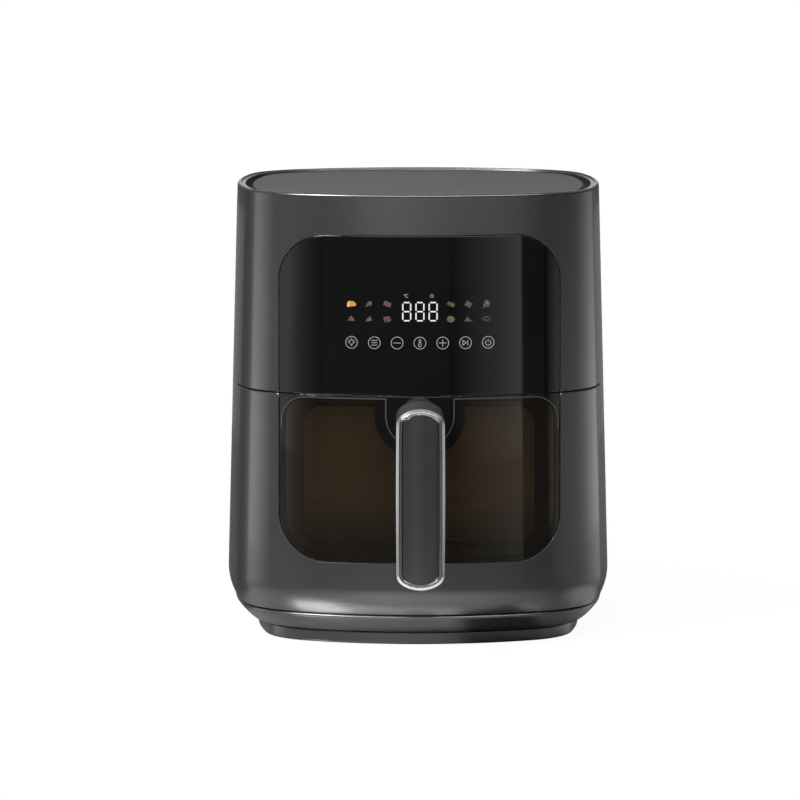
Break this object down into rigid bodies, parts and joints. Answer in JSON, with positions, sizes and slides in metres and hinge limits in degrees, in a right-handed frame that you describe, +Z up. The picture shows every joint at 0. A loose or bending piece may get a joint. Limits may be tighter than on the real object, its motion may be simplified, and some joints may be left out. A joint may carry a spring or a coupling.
{
  "type": "air fryer",
  "caption": "Upright hot-air fryer with a pull-out windowed drawer, gloss touch panel, vertical handle, lift-out crisper plate and fan heater.",
  "frame": {"origin": "on the floor, under the middle of the whole object's bounding box with the drawer closed", "axes": "+Z up; the drawer and handle face -Y; +X to the right of someone facing the drawer"},
  "size_m": [0.281, 0.359, 0.3265],
  "materials": {
    "shell": "satin, dark grey",
    "black_moulding": "fine matt, black",
    "handle_cover": "satin, dark grey",
    "gloss_black": "high gloss, black",
    "tinted_glass": "clear, smoke tint",
    "clear_glass": "clear",
    "bright_trim": "satin chrome",
    "rubber": "matt, black",
    "silicone": "matt, dark grey",
    "coated_pan": "non-stick coating, dark grey",
    "liner_steel": "bare aluminised sheet",
    "wire_steel": "bright",
    "element_sheath": "oxidised tube",
    "fan_sheet": "bare sheet",
    "bronze": "sintered",
    "slide_plastic": "smooth, heat-resisting",
    "board": "printed board",
    "components": "smooth, dark",
    "contact_spring": "bright"
  },
  "bodies": {
    "housing": {"outer_housing": "shell", "base_pan": "shell", "plinth": "black_moulding", "base_screws": "wire_steel", "rubber_feet": "rubber", "top_inlet_ring": "shell", "top_cover": "shell", "rear_vent": "shell", "exhaust_duct": "black_moulding", "cord_gland": "black_moulding", "control_panel": "gloss_black", "panel_carrier": "black_moulding", "display_board": "board", "display_module": "components", "touch_springs": "contact_spring", "chamber_liner": "liner_steel", "drawer_rails": "slide_plastic", "front_bezel": "black_moulding", "chamber_hood": "liner_steel", "lamp_lens": "clear_glass", "lamp_housing": "black_moulding", "temperature_probe": "wire_steel", "heat_reflector": "liner_steel", "heating_element": "element_sheath", "element_clips": "wire_steel", "element_guard": "wire_steel", "motor_bracket": "liner_steel", "motor_can": "wire_steel", "motor_cap": "wire_steel", "motor_bearings": "bronze", "motor_stator": "wire_steel", "board_standoffs": "black_moulding", "power_board": "board", "power_board_parts": "components", "reed_switch": "components"},
    "drawer": {"drawer_fascia": "shell", "window_glass": "tinted_glass", "window_frame": "black_moulding", "handle_mount": "gloss_black", "handle_core": "black_moulding", "handle_trim": "bright_trim", "handle_insert": "handle_cover", "handle_screws": "wire_steel", "drawer_top_cap": "black_moulding", "drawer_inner_shell": "black_moulding", "drawer_magnet": "wire_steel", "basket": "coated_pan", "inner_glass": "clear_glass", "glass_seal": "silicone"},
    "crisper": {"crisper_plate": "coated_pan", "plate_bumpers": "silicone"},
    "fan": {"hot_air_fan": "fan_sheet", "cooling_fan": "black_moulding", "motor_shaft": "wire_steel", "motor_rotor": "wire_steel"}
  },
  "joints": [
    {"name": "drawer_slide", "type": "slide", "parent": "housing", "child": "drawer", "axis": [0, -1, 0], "range_m": [0, 0.15]},
    {"name": "plate_lift", "type": "slide", "parent": "drawer", "child": "crisper", "axis": [0, 0, 1], "range_m": [0, 0.11]},
    {"name": "fan_spin", "type": "hinge", "parent": "housing", "child": "fan", "pos_m": [0, 0.0285, 0.2], "axis": [0, 0, 1], "continuous": true}
  ]
}
